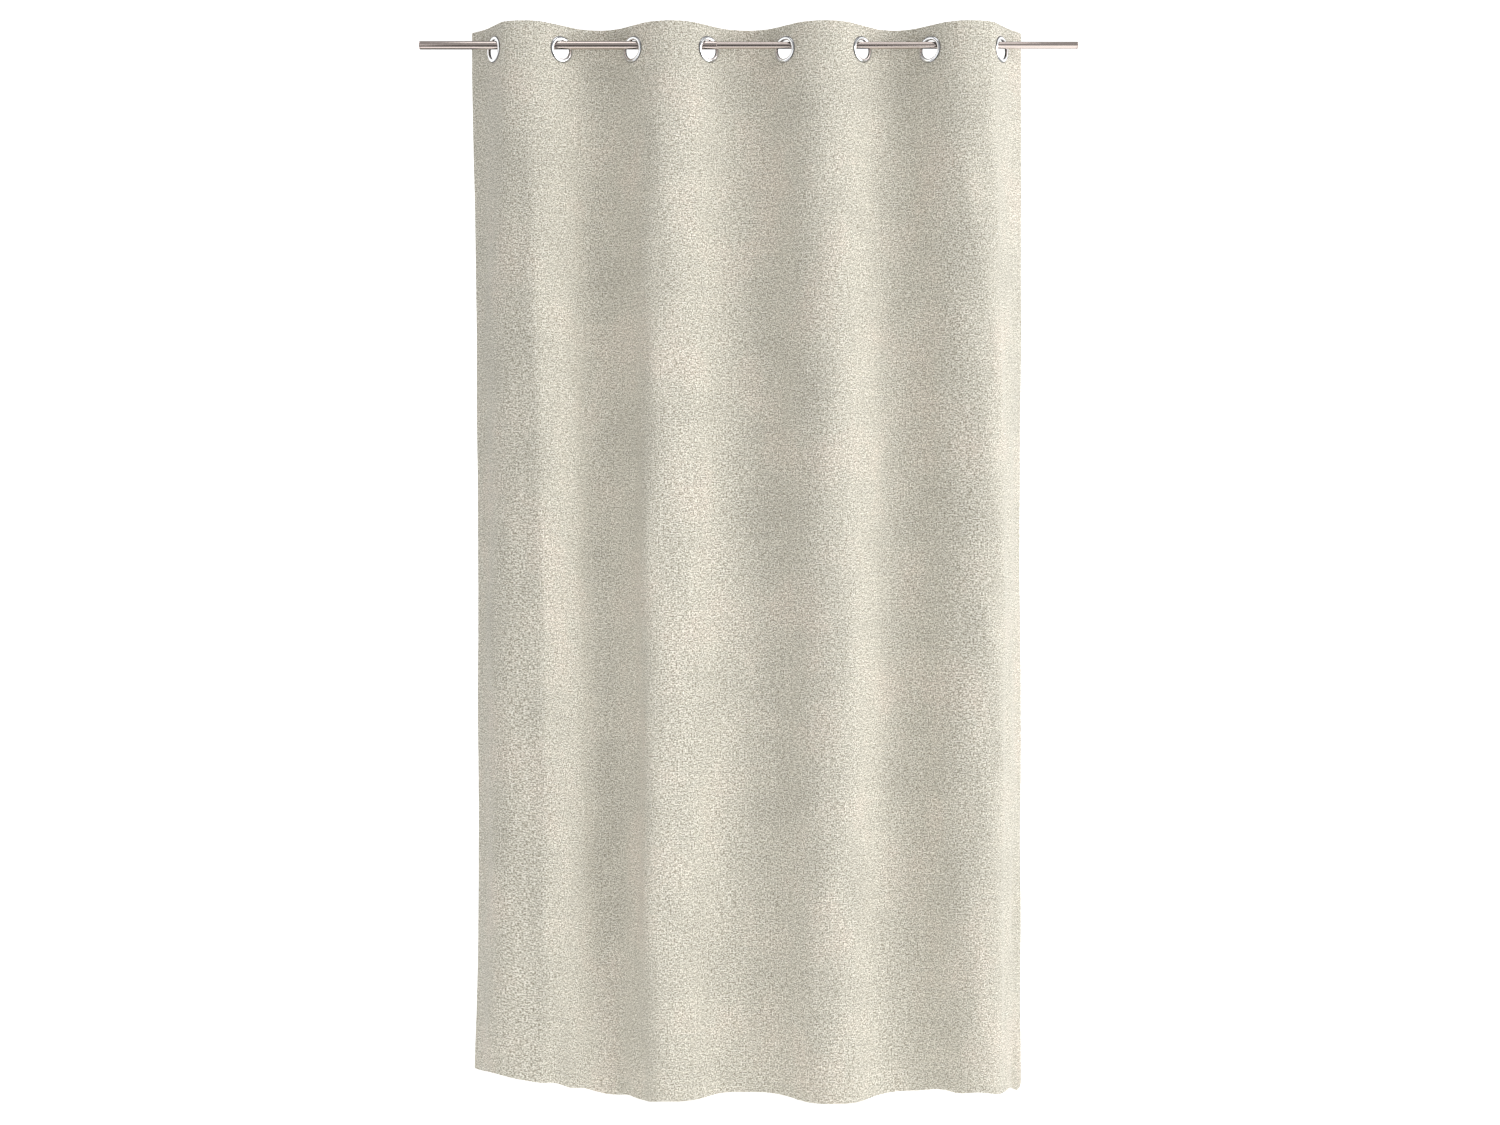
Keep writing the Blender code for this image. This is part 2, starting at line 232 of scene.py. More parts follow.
class CurtainClothSettings(bpy.types.PropertyGroup):
    ground_colour: colour_setting("Ground", "Colour of most of the yarn", "#CCC7B9")
    pale_colour: colour_setting("Pale yarn", "Colour of the pale flecks", "#F2EFE5")
    dark_colour: colour_setting("Dark yarn", "Colour of the dark flecks", "#948E7D")
    warm_colour: colour_setting("Warm patches", "Colour that tints broad patches", "#CDBFB2")
    thread_pitch: length_setting(
        "Thread pitch", "Distance between threads of the weave", 1.2 * MM, 0.2 * MM, 4 * MM,
    )
    heading_hem: length_setting(
        "Heading hem", "Depth of the hem that holds the stiffening tape", 97 * MM, 0.06, 0.20,
    )
    bottom_hem: length_setting(
        "Bottom hem", "Depth of the hem at the foot of the curtain", 50 * MM, 0.02, 0.20,
    )
    side_hem: length_setting(
        "Side hem", "Width of the hem down each side", 8 * MM, 0.006, 0.04,
    )
    unevenness: share_setting(
        "Unevenness", "How strongly the hanging folds vary", 1.0, 2.0,
    )


class CurtainRodSettings(bpy.types.PropertyGroup):
    colour: colour_setting("Nickel", "Colour of the plated tubes", "#D6C9C3")
    roughness: share_setting("Roughness", "Roughness of the plated tubes", 0.14)
    wall: length_setting(
        "Tube wall", "Thickness of both tubes' walls", 0.8 * MM, 0.4 * MM, 2 * MM,
    )
    sides: sides_setting("Sides of the round tubes")


class CurtainEyeletSettings(bpy.types.PropertyGroup):
    colour: colour_setting("Chrome", "Colour of the plated eyelets", "#E3E4E6")
    roughness: share_setting("Roughness", "Roughness of the plated eyelets", 0.10)
    sides: sides_setting("Sides of each round eyelet")


class CurtainStageSettings(bpy.types.PropertyGroup):
    paper_colour: colour_setting("Backdrop", "Colour of the floor and backdrop", "#F4F4F2")
    key_power: power_setting(
        "Key light", "Power of the large light in front, on the right", 134.0,
    )
    fill_power: power_setting(
        "Fill light", "Power of the large light in front, on the left", 20.0,
    )
    top_power: power_setting("Top light", "Power of the large light overhead", 20.0)
    ambient: share_setting("Ambient", "Strength of the light from all round", 0.40, 2.0)


# ------------------------------------------------------------------ modelling helpers

def deselect_all():
    for piece in bpy.context.view_layer.objects:
        piece.select_set(False)


def select_only(piece):
    deselect_all()
    piece.select_set(True)
    bpy.context.view_layer.objects.active = piece


def name_piece(piece, name):
    """Names an object and its data alike."""
    piece.name = name
    piece.data.name = name
    return piece


def settle_place():
    """Moves the active object's place, turn and size into its mesh."""
    bpy.ops.object.transform_apply(location=True, rotation=True, scale=True)


def start_editing(piece):
    """Enters edit mode on one piece, with nothing selected in it."""
    select_only(piece)
    bpy.ops.object.mode_set(mode="EDIT")
    bpy.ops.mesh.select_mode(type="FACE")
    bpy.ops.mesh.select_all(action="DESELECT")


def stop_editing():
    bpy.ops.object.mode_set(mode="OBJECT")


def select_where(piece, kind, test):
    """Selects the faces or edges of the edited piece that pass a test."""
    bpy.ops.mesh.select_mode(type="FACE" if kind == "faces" else "EDGE")
    bpy.ops.mesh.select_all(action="DESELECT")
    shape = bmesh.from_edit_mesh(piece.data)
    for element in getattr(shape, kind):
        element.select_set(bool(test(element)))
    shape.select_flush_mode()
    bmesh.update_edit_mesh(piece.data)


def smooth_by_angle(piece, degrees):
    select_only(piece)
    bpy.ops.object.shade_smooth_by_angle(angle=math.radians(degrees))


def cylinder_along_rod(name, radius, start, end, sides):
    """A capped cylinder on the rod's axis, from one X to another."""
    deselect_all()
    bpy.ops.mesh.primitive_cylinder_add(
        vertices=sides, radius=radius, depth=end - start,
        location=((start + end) / 2, 0, 0), rotation=(0, math.pi / 2, 0),
    )
    piece = name_piece(bpy.context.active_object, name)
    settle_place()
    return piece


def link_piece(name, mesh):
    """A new object with this mesh, in the scene."""
    piece = bpy.data.objects.new(name, mesh)
    bpy.context.scene.collection.objects.link(piece)
    return piece


def finish_piece(piece, material, nodes):
    """Gives a finished piece its material, and hides the CAD nodes that it stands for."""
    piece.data.materials.clear()
    piece.data.materials.append(material)
    if nodes:
        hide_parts(*nodes)
    return piece


# ------------------------------------------------------------------ material helpers

def feed(tree, node, links):
    """Links a node's inputs, by name, to outputs or to other nodes' first outputs."""
    for name, source in links.items():
        output = source if isinstance(source, bpy.types.NodeSocket) else source.outputs[0]
        tree.links.new(output, node.inputs[name])


def add(tree, kind, settings=None, links=None):
    """Adds a node, sets its properties and inputs by name, and links inputs to outputs."""
    node = tree.nodes.new(kind)
    for name, value in (settings or {}).items():
        if isinstance(name, int) or name in node.inputs:
            node.inputs[name].default_value = value
        else:
            setattr(node, name, value)
    feed(tree, node, links or {})
    return node


def surface(name, settings):
    """A new material whose Principled shader has these constants; returns it and its nodes."""
    material = bpy.data.materials.new(name)
    material.use_nodes = True
    tree = material.node_tree
    shader = tree.nodes["Principled BSDF"]
    for setting, value in settings.items():
        shader.inputs[setting].default_value = value
    return material, tree, shader


def scaled_flat(tree, across_per_metre, down_per_metre):
    """The cloth's own flat coordinates, times a number of pattern units per metre."""
    flat = add(tree, "ShaderNodeUVMap", {"uv_map": "flat_cloth"})
    factors = (across_per_metre, down_per_metre, 1.0)
    return add(tree, "ShaderNodeVectorMath", {"operation": "MULTIPLY", 1: factors}, {0: flat})


def woven_polyester(settings):
    """Linen-look polyester, woven from space-dyed yarn: a dry, matt face.

    Cream and olive-grey flecks a few millimetres long lie along the weft, broad patches
    lean slightly pink, and the plain weave gives a fine even grain.
    """
    material, tree, shader = surface(
        "Woven linen-look polyester",
        {
            "Roughness": 0.9, "Specular IOR Level": 0.25,
            "Sheen Weight": 0.2, "Sheen Roughness": 0.5,
        },
    )
    # Flecks of about 2.5 mm, and weft dashes of about 10 by 2 mm: coarser than the real
    # yarn, so that they show from across the room
    grain, dashes, streaks, patches = (
        add(
            tree, "ShaderNodeTexNoise",
            {"Scale": 1.0, "Detail": detail, "Roughness": 0.6, "noise_dimensions": "2D"},
            {"Vector": scaled_flat(tree, across, down)},
        )
        for across, down, detail in (
            (320, 350, 1.0), (90, 420, 1.0), (7, 210, 2.0), (7, 5, 3.0),
        )
    )
    yarn = add(
        tree, "ShaderNodeMix", {"data_type": "FLOAT", 0: 0.3}, {2: grain, 3: dashes},
    )
    pale, dark, warmth, shade, mottle, dryness = (
        add(
            tree, "ShaderNodeMapRange",
            {"From Min": low, "From Max": high, "To Min": first, "To Max": last},
            {"Value": pattern},
        )
        for pattern, low, high, first, last in (
            (yarn, 0.51, 0.62, 0.0, 1.0), (yarn, 0.49, 0.38, 0.0, 1.0),
            (patches, 0.50, 0.68, 0.0, 0.55), (streaks, 0.3, 0.7, 0.93, 1.05),
            (patches, 0.3, 0.7, 0.93, 1.06), (yarn, 0.3, 0.7, 0.98, 0.82),
        )
    )
    colour = add(
        tree, "ShaderNodeMix",
        {"data_type": "RGBA", 6: (*settings.ground_colour, 1), 7: (*settings.warm_colour, 1)},
        {0: warmth},
    )
    for flecks, yarn_colour in ((pale, settings.pale_colour), (dark, settings.dark_colour)):
        colour = add(
            tree, "ShaderNodeMix", {"data_type": "RGBA", 7: (*yarn_colour, 1)},
            {0: flecks, 6: colour.outputs[2]},
        )
    tone = add(tree, "ShaderNodeMath", {"operation": "MULTIPLY"}, {0: shade, 1: mottle})
    toned = add(
        tree, "ShaderNodeVectorMath", {"operation": "SCALE"},
        {0: colour.outputs[2], "Scale": tone},
    )
    # The plain weave: threads cross over and under at the set pitch
    turns = 2 * math.pi / settings.thread_pitch
    threads = add(tree, "ShaderNodeSeparateXYZ", None, {0: scaled_flat(tree, turns, turns)})
    warp, weft = (
        add(tree, "ShaderNodeMath", {"operation": "SINE"}, {0: threads.outputs[place]})
        for place in (0, 1)
    )
    crossing = add(tree, "ShaderNodeMath", {"operation": "MULTIPLY"}, {0: warp, 1: weft})
    relief = add(
        tree, "ShaderNodeMath", {"operation": "MULTIPLY_ADD", 1: 0.35}, {0: crossing, 2: yarn},
    )
    bump = add(
        tree, "ShaderNodeBump", {"Strength": 0.6, "Distance": 0.35 * MM}, {"Height": relief},
    )
    feed(tree, shader, {"Base Color": toned, "Roughness": dryness, "Normal": bump})
    return material


def sewing_thread(settings):
    """Spun polyester thread in the cloth's own colour, twisted, with a slight lustre."""
    material, tree, shader = surface(
        "Spun polyester thread",
        {"Roughness": 0.6, "Specular IOR Level": 0.4, "Sheen Weight": 0.15},
    )
    place = add(tree, "ShaderNodeTexCoord")
    ply = add(
        tree, "ShaderNodeTexWave",
        {"Scale": 320.0, "Distortion": 0.6, "bands_direction": "DIAGONAL"},
        {"Vector": place.outputs["Object"]},
    )
    colour = add(
        tree, "ShaderNodeMix",
        {"data_type": "RGBA", 6: (*settings.ground_colour, 1), 7: (*settings.pale_colour, 1)},
        {0: ply.outputs["Fac"]},
    )
    bump = add(
        tree, "ShaderNodeBump", {"Strength": 0.5, "Distance": 0.08 * MM},
        {"Height": ply.outputs["Fac"]},
    )
    feed(tree, shader, {"Base Color": colour.outputs[2], "Normal": bump})
    return material


def plated_metal(name, colour, roughness, stretch, depth):
    """A plated metal with polishing marks: their number per metre along X, Y and Z.

    Where a piece has the attribute read below, a near-black colour is mixed in: painted shade,
    standing in for the shade in an eyelet's bore and at its rim.
    """
    material, tree, shader = surface(name, {"Metallic": 1.0})
    place = add(tree, "ShaderNodeTexCoord")
    marks = add(
        tree, "ShaderNodeVectorMath", {"operation": "MULTIPLY", 1: stretch},
        {0: place.outputs["Object"]},
    )
    polish = add(
        tree, "ShaderNodeTexNoise", {"Scale": 1.0, "Detail": 3.0, "Roughness": 0.6},
        {"Vector": marks},
    )
    haze = add(
        tree, "ShaderNodeTexNoise", {"Scale": 28.0, "Detail": 2.0},
        {"Vector": place.outputs["Object"]},
    )
    worn = add(
        tree, "ShaderNodeMix", {"data_type": "FLOAT", 0: 0.4}, {2: polish, 3: haze},
    )
    rough = add(
        tree, "ShaderNodeMapRange",
        {"From Min": 0.3, "From Max": 0.7, "To Min": roughness * 0.7, "To Max": roughness * 1.4},
        {"Value": worn},
    )
    tint = add(
        tree, "ShaderNodeMix",
        {
            "data_type": "RGBA", 6: (*(0.93 * value for value in colour), 1),
            7: (*colour, 1),
        },
        {0: haze.outputs["Fac"]},
    )
    # Painted shade: where the attribute is set, the colour is mixed towards near-black
    painted_shade_amount = add(
        tree, "ShaderNodeAttribute",
        {"attribute_type": "GEOMETRY", "attribute_name": "thin_plating"},
    )
    plated = add(
        tree, "ShaderNodeMix", {"data_type": "RGBA", 7: (*linear("#2E2B2A"), 1)},
        {0: painted_shade_amount.outputs["Fac"], 6: tint.outputs[2]},
    )
    bump = add(
        tree, "ShaderNodeBump", {"Strength": 0.3, "Distance": depth}, {"Height": polish},
    )
    feed(
        tree, shader,
        {"Base Color": plated.outputs[2], "Roughness": rough, "Normal": bump},
    )
    return material


def brushed_nickel(settings):
    """Nickel plate over brushed steel tube: slightly warm, with fine lines along the tube."""
    stretch = (9.0, 2200.0, 2200.0)
    return plated_metal(
        "Brushed nickel-plated steel", settings.colour, settings.roughness, stretch, 0.02 * MM,
    )


def bright_chrome(settings):
    """Chrome plate over pressed steel: a cold mirror with a few hairline marks."""
    stretch = (420.0, 420.0, 60.0)
    return plated_metal(
        "Chromed pressed steel", settings.colour, settings.roughness, stretch, 0.01 * MM,
    )


def moulded_nylon():
    """Natural nylon, injection moulded: milky white with a soft grain and a low gloss."""
    material, tree, shader = surface(
        "Moulded nylon", {"Base Color": (*linear("#E4E2DA"), 1), "IOR": 1.53},
    )
    place = add(tree, "ShaderNodeTexCoord")
    grain = add(
        tree, "ShaderNodeTexNoise", {"Scale": 900.0, "Detail": 2.0},
        {"Vector": place.outputs["Object"]},
    )
    rough = add(
        tree, "ShaderNodeMapRange",
        {"From Min": 0.3, "From Max": 0.7, "To Min": 0.38, "To Max": 0.55}, {"Value": grain},
    )
    colour = add(
        tree, "ShaderNodeMix",
        {"data_type": "RGBA", 6: (*linear("#DEDCD2"), 1), 7: (*linear("#EAE9E3"), 1)},
        {0: grain},
    )
    bump = add(
        tree, "ShaderNodeBump", {"Strength": 0.3, "Distance": 0.05 * MM}, {"Height": grain},
    )
    feed(
        tree, shader,
        {"Base Color": colour.outputs[2], "Roughness": rough, "Normal": bump},
    )
    return material


# ------------------------------------------------------------------ the rod

TUBE_LIP = 0.30 * MM
CAP_HEAD = 2.5 * MM
CAP_ROUNDING = 0.45 * MM
SPIGOT_PLAY = 0.3 * MM
# The dish in an end cap's face, as shares of the cap's radius
DISH_RIM, DISH_SLOPE, DISH_DEPTH = 0.24, 0.06, 0.04
# Two places nearer than this are one
SAME_PLACE = MM / 100


def make_tube(name, radius, wall, start, end, sides):
    """A tube bored right through, with both of its ends' outer edges rounded."""
    piece = cylinder_along_rod(name, radius, start, end, sides)
    start_editing(piece)
    select_where(piece, "faces", lambda face: abs(face.normal.x) > 0.9)
    bpy.ops.mesh.inset(thickness=wall, use_individual=True)
    bpy.ops.mesh.bridge_edge_loops()

    def at_an_end(edge):
        ends = [vertex.co for vertex in edge.verts]
        near = all(min(abs(co.x - start), abs(co.x - end)) < SAME_PLACE for co in ends)
        around = abs(ends[0].x - ends[1].x) < SAME_PLACE
        radii = [math.hypot(co.y, co.z) for co in ends]
        return near and around and abs(radii[0] - radii[1]) < SAME_PLACE

    select_where(piece, "edges", at_an_end)
    bpy.ops.mesh.bevel(offset=TUBE_LIP, segments=4, affect="EDGES")
    bpy.ops.mesh.select_all(action="SELECT")
    bpy.ops.mesh.normals_make_consistent(inside=False)
    stop_editing()
    smooth_by_angle(piece, 40)
    return piece


def make_end_cap(name, box, spigot_radius, towards, sides):
    """A headed plug: a shallow dish in its face, a rounded rim and a spigot in the tube."""
    low, high = box
    radius = (high.z - low.z) / 2
    face = high.x if towards > 0 else low.x
    back = face - towards * CAP_HEAD
    foot = low.x if towards > 0 else high.x
    piece = cylinder_along_rod(name, radius, min(face, back), max(face, back), sides)
    start_editing(piece)
    select_where(piece, "faces", lambda found: found.normal.x * towards < -0.9)
    bpy.ops.mesh.inset(thickness=radius - spigot_radius)
    bpy.ops.mesh.extrude_region_move(
        TRANSFORM_OT_translate={"value": (foot - back, 0, 0)},
    )
    select_where(piece, "faces", lambda found: found.normal.x * towards > 0.9)
    bpy.ops.mesh.inset(thickness=radius * DISH_RIM)
    bpy.ops.mesh.inset(thickness=radius * DISH_SLOPE, depth=-radius * DISH_DEPTH)

    def on_a_rim(edge):
        middle = (edge.verts[0].co + edge.verts[1].co) / 2
        level = abs(edge.verts[0].co.x - edge.verts[1].co.x) < SAME_PLACE
        outer = math.hypot(middle.y, middle.z) > radius * 0.98
        return level and outer

    select_where(piece, "edges", on_a_rim)
    bpy.ops.mesh.bevel(offset=CAP_ROUNDING, segments=4, affect="EDGES")
    stop_editing()
    smooth_by_angle(piece, 40)
    return piece


class CURTAIN_OT_build_rod(bpy.types.Operator):
    """Models the two tubes and their end caps, and finishes the guide plug inside"""

    bl_idname = "curtain.build_rod"
    bl_label = "Build Rod"

    def execute(self, context):
        settings = context.scene.curtain_rod
        nickel = brushed_nickel(settings)
        wall, sides = settings.wall, settings.sides
        pieces = [
            (body, make_tube(name, box[1].z, wall, box[0].x, box[1].x, sides))
            for name, box, body in (
                ("outer_tube", OUTER_TUBE_BOX, "outer_rod"),
                ("inner_tube", INNER_TUBE_BOX, "inner_rod"),
            )
        ]
        pieces += [
            (body, make_end_cap(name, box, tube[1].z - wall - SPIGOT_PLAY, towards, sides))
            for name, box, tube, towards, body in (
                ("left_end_cap", LEFT_CAP_BOX, OUTER_TUBE_BOX, -1, "outer_rod"),
                ("right_end_cap", RIGHT_CAP_BOX, INNER_TUBE_BOX, 1, "inner_rod"),
            )
        ]
        for body, piece in pieces:
            finish_piece(piece, nickel, [f"rod_{piece.name}"])
            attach(piece, body)
        plug = frame["nodes"]["rod_guide_plug"]
        nylon = moulded_nylon()
        for place in range(len(plug.material_slots)):
            plug.material_slots[place].material = nylon
        return {"FINISHED"}


# ------------------------------------------------------------------ eyelets

# (radius, height) of the pressed flange in millimetres, from the barrel's rolled end up the
# bore, over the lip and the crown, and round the rim to the barrel's outside.  The height is
# measured along the eyelet's axis from the cloth's middle, towards the room.
FLANGE_PROFILE = (
    (22.40, -2.30), (22.25, -2.52), (22.00, -2.60), (21.72, -2.52), (21.45, -2.20),
    (21.15, -1.40), (21.00, -0.40), (21.00, 0.60), (21.12, 1.50), (21.50, 2.25),
    (22.15, 2.85), (23.00, 3.25), (24.10, 3.46), (25.30, 3.48), (26.50, 3.34),
    (27.60, 3.04), (28.55, 2.60), (29.30, 2.05), (29.80, 1.45), (30.00, 1.12),
    (29.90, 0.94), (29.60, 0.90), (26.00, 0.90), (22.60, 0.90), (22.42, 0.60),
)
# The washer on the back: flat towards the cloth, crowned towards the window
WASHER_PROFILE = (
    (22.70, -2.02), (26.00, -2.00), (29.70, -2.00), (29.95, -2.10), (30.00, -2.40),
    (29.80, -2.90), (29.20, -3.50), (28.20, -4.00), (27.00, -4.30), (25.70, -4.40),
    (24.40, -4.30), (23.40, -4.00), (22.85, -3.50), (22.70, -2.90),
)
# Painted shade: the bore and the rim are coloured dark in place of the shade that falls there,
# so that they
# show dark from across the room: within a radius and below a height, and outside a radius
PAINTED_SHADE_INSIDE = 23.5 * MM
PAINTED_SHADE_DEPTH = 1.6 * MM
PAINTED_SHADE_OUTSIDE = 29.2 * MM
PAINTED_SHADE_IN_BORE, PAINTED_SHADE_AT_RIM = 0.92, 0.85


def make_ring(name, profile, sides):
    """A closed ring about Z, drawn out loop by loop from a circle along its profile."""
    deselect_all()
    first_radius, first_height = (value * MM for value in profile[0])
    bpy.ops.mesh.primitive_circle_add(
        vertices=sides, radius=first_radius, fill_type="NOTHING",
        location=(0, 0, first_height),
    )
    piece = name_piece(bpy.context.active_object, name)
    settle_place()
    start_editing(piece)
    bpy.ops.mesh.select_mode(type="EDGE")
    bpy.ops.mesh.select_all(action="SELECT")
    radius, height = first_radius, first_height
    for next_radius, next_height in ((r * MM, h * MM) for r, h in profile[1:]):
        bpy.ops.mesh.extrude_edges_move(
            TRANSFORM_OT_translate={"value": (0, 0, next_height - height)},
        )
        growth = next_radius / radius
        bpy.ops.transform.resize(value=(growth, growth, 1), center_override=(0, 0, 0))
        radius, height = next_radius, next_height
    select_where(piece, "edges", lambda edge: len(edge.link_faces) == 1)
    bpy.ops.mesh.bridge_edge_loops()
    bpy.ops.mesh.select_all(action="SELECT")
    bpy.ops.mesh.normals_make_consistent(inside=False)
    stop_editing()
    smooth_by_angle(piece, 50)
    # Painted shade: marks the bore and the rim, which the material darkens in place of their
    # shade
    painted_shade_amount = piece.data.attributes.new("thin_plating", "FLOAT", "POINT")
    for vertex, value in zip(piece.data.vertices, painted_shade_amount.data):
        radius = math.hypot(vertex.co.x, vertex.co.y)
        in_bore = radius < PAINTED_SHADE_INSIDE and vertex.co.z < PAINTED_SHADE_DEPTH
        at_rim = radius > PAINTED_SHADE_OUTSIDE
        value.value = PAINTED_SHADE_IN_BORE if in_bore else PAINTED_SHADE_AT_RIM if at_rim else 0.0
    return piece


def right_side(pleat):
    """The side of the rod where the cloth right of an eyelet lies: -1 room, +1 window."""
    return -1 if pleat % 2 else 1


def eyelet_turn(pleat):
    """The angle between the cloth at a pleat's eyelet and the rod."""
    return END_EYELET_TURN if pleat in (1, PLEATS) else EYELET_TURN


def eyelet_places():
    """Where the eyelets hang along the rod: the folds' hinges lie midway between them."""
    places = [JOINTS["curtain_draw"]["pos_m"][0]]
    for fold in range(1, PLEATS):
        places.append(2 * JOINTS[f"fold_{fold}"]["pos_m"][0] - places[-1])
    return places


EYELETS = eyelet_places()


def set_at_eyelet(ring, pleat, name):
    """A copy of a ring with its own mesh, turned to face the room at a pleat's eyelet."""
    copy = ring.copy()
    copy.data = ring.data.copy()
    name_piece(copy, name)
    bpy.context.scene.collection.objects.link(copy)
    turn = eyelet_turn(pleat)
    axis = Vector((right_side(pleat) * math.sin(turn), -math.cos(turn), 0))
    place = Matrix.Translation((EYELETS[pleat - 1], 0, EYELET_HEIGHT))
    copy.data.transform(place @ axis.to_track_quat("Z", "Y").to_matrix().to_4x4())
    return copy


class CURTAIN_OT_build_eyelets(bpy.types.Operator):
    """Models one chromed flange and one washer, and sets a pair of them at every pleat"""

    bl_idname = "curtain.build_eyelets"
    bl_label = "Build Eyelets"

    def execute(self, context):
        settings = context.scene.curtain_eyelet
        chrome = bright_chrome(settings)
        for kind, profile in (("flange", FLANGE_PROFILE), ("washer", WASHER_PROFILE)):
            ring = make_ring(kind, profile, settings.sides)
            for pleat in range(1, PLEATS + 1):
                piece = set_at_eyelet(ring, pleat, f"{kind}_{pleat}")
                node = f"eyelet_{kind}_{pleat}"
                finish_piece(piece, chrome, [node])
                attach(piece, f"pleat_{pleat}")
            bpy.data.objects.remove(ring, do_unlink=True)
        return {"FINISHED"}


# ------------------------------------------------------------------ the cloth's shape

def half_plan(turn, run, depth, free):
    """From an eyelet's centre to the crest or the free edge beside it, growing in X and Y.

    A crest is round; a free edge leaves the eyelet nearly straight.
    """
    slope = Vector((math.cos(turn), math.sin(turn), 0))
    flat_end = slope * FLAT_HALF_WIDTH
    end = Vector((run, depth, 0))
    if free:
        handle = flat_end + slope * ((end - flat_end).length / 3)
        end_handle = end.lerp(flat_end, 1 / 3)
    else:
        corner = flat_end + slope * ((depth - flat_end.y) / slope.y)
        handle = flat_end.lerp(corner, FOLD_SOFTNESS)
        end_handle = end.lerp(corner, FOLD_SOFTNESS)
    curve = interpolate_bezier(flat_end, handle, end_handle, end, PLAN_STEPS)
    return np.array([(0, 0), *((point.x, point.y) for point in curve)])


def length_shares(points):
    """How far along the points' own length each one lies, from 0 to 1."""
    steps = np.hypot(*np.diff(points, axis=0).T)
    travelled = np.concatenate(([0.0], np.cumsum(steps)))
    return travelled / travelled[-1]


def fold_plan():
    """The heading's plan line: its length along the cloth, X, Y and place on the fold lines."""
    points, lines = [], []
    for pleat in range(1, PLEATS + 1):
        centre, turn, side = EYELETS[pleat - 1], eyelet_turn(pleat), right_side(pleat)
        if pleat == 1:
            left = half_plan(turn, LEFT_EDGE_RUN, EDGE_DEPTH, True)
        else:
            left = half_plan(turn, (centre - EYELETS[pleat - 2]) / 2, FOLD_DEPTH, False)
        if pleat == PLEATS:
            right = half_plan(turn, RIGHT_EDGE_RUN, EDGE_DEPTH, True)
        else:
            right = half_plan(turn, (EYELETS[pleat] - centre) / 2, FOLD_DEPTH, False)
        middle_line = 2 * pleat - 1
        first = 1 if points else 0
        flipped = (left * (-1, -side) + (centre, 0))[::-1][first:]
        points.append(flipped)
        lines.append((middle_line - length_shares(left))[::-1][first:])
        points.append((right * (1, side) + (centre, 0))[1:])
        lines.append((middle_line + length_shares(right))[1:])
    points, lines = np.concatenate(points), np.concatenate(lines)
    along = np.concatenate(([0.0], np.cumsum(np.hypot(*np.diff(points, axis=0).T))))
    return SimpleNamespace(along=along, x=points[:, 0], y=points[:, 1], line=lines)


def ease(share):
    """From 0 to 1 with a soft start and a soft stop."""
    share = np.clip(share, 0, 1)
    return share * share * (3 - 2 * share)


def at_line(table, line):
    """A fold-line table's value between its lines, easing from one to the next."""
    table = np.asarray(table)
    before = np.minimum(line.astype(int), len(table) - 2)
    share = ease(line - before)
    return table[before] * (1 - share) + table[before + 1] * share


def ripples(across, height, seed, count, across_lengths, height_lengths):
    """Smooth unevenness about zero: a few long waves of random length, lean and phase."""
    draws = np.random.default_rng(seed)
    total = np.zeros_like(across)
    for _ in range(count):
        across_turns = draws.choice((-1, 1)) / draws.uniform(*across_lengths)
        height_turns = 1 / draws.uniform(*height_lengths)
        phase = draws.uniform(0, 2 * math.pi)
        total += np.sin(2 * math.pi * (across * across_turns + height * height_turns) + phase)
    return total / math.sqrt(count)


def across_steps(start, end, pitch):
    """Evenly spaced values after start, up to and including end."""
    count = max(1, round(abs(end - start) / pitch))
    return list(np.linspace(start, end, count + 1)[1:])


def grid_columns(plan, eyelets, side_hem):
    """Distances across the flat cloth at which its grid has columns."""
    total = plan.along[-1]
    edge = list(EDGE_STEPS)
    edge += [side_hem - SEAM_INSET + step for step in SEAM_STEPS]
    edge += [side_hem - HALF_STEP, side_hem + HALF_STEP, side_hem + BESIDE_HEM]
    columns = list(edge)
    for eyelet in eyelets:
        columns += across_steps(columns[-1], eyelet - HOLE_BLOCK, COLUMN_PITCH)
        columns += [eyelet - step for step in HOLE_STEPS[::-1][1:]]
        columns += [eyelet + step for step in HOLE_STEPS[1:]]
    columns += across_steps(columns[-1], total - edge[-1], COLUMN_PITCH)
    columns += [total - step for step in edge[::-1][1:]]
    return np.array(columns)


def grid_rows(heading_hem, bottom_hem):
    """Heights on the flat cloth at which its grid has rows, from the top down."""
    rows = [CLOTH_TOP - step for step in EDGE_STEPS]
    rows += across_steps(rows[-1], EYELET_HEIGHT + HOLE_BLOCK, HEADING_PITCH)
    rows += [EYELET_HEIGHT + step for step in HOLE_STEPS[::-1][1:]]
    rows += [EYELET_HEIGHT - step for step in HOLE_STEPS[1:]]
    hem_line = CLOTH_TOP - heading_hem
    foot = HEM_HEIGHT + bottom_hem
    rows += across_steps(rows[-1], hem_line + HALF_STEP, TAPE_PITCH)
    rows += [hem_line - HALF_STEP]
    rows += across_steps(rows[-1], CLOTH_TOP - UPPER_DEPTH, UPPER_PITCH)
    rows += across_steps(rows[-1], foot + FOOT_REACH, PLAIN_PITCH)
    rows += across_steps(rows[-1], foot + HALF_STEP, FOOT_PITCH)
    rows += [foot - HALF_STEP]
    rows += across_steps(rows[-1], HEM_HEIGHT + EDGE_STEPS[-1], FOOT_PITCH)
    rows += [HEM_HEIGHT + step for step in EDGE_STEPS[::-1][1:]]
    return np.array(rows)


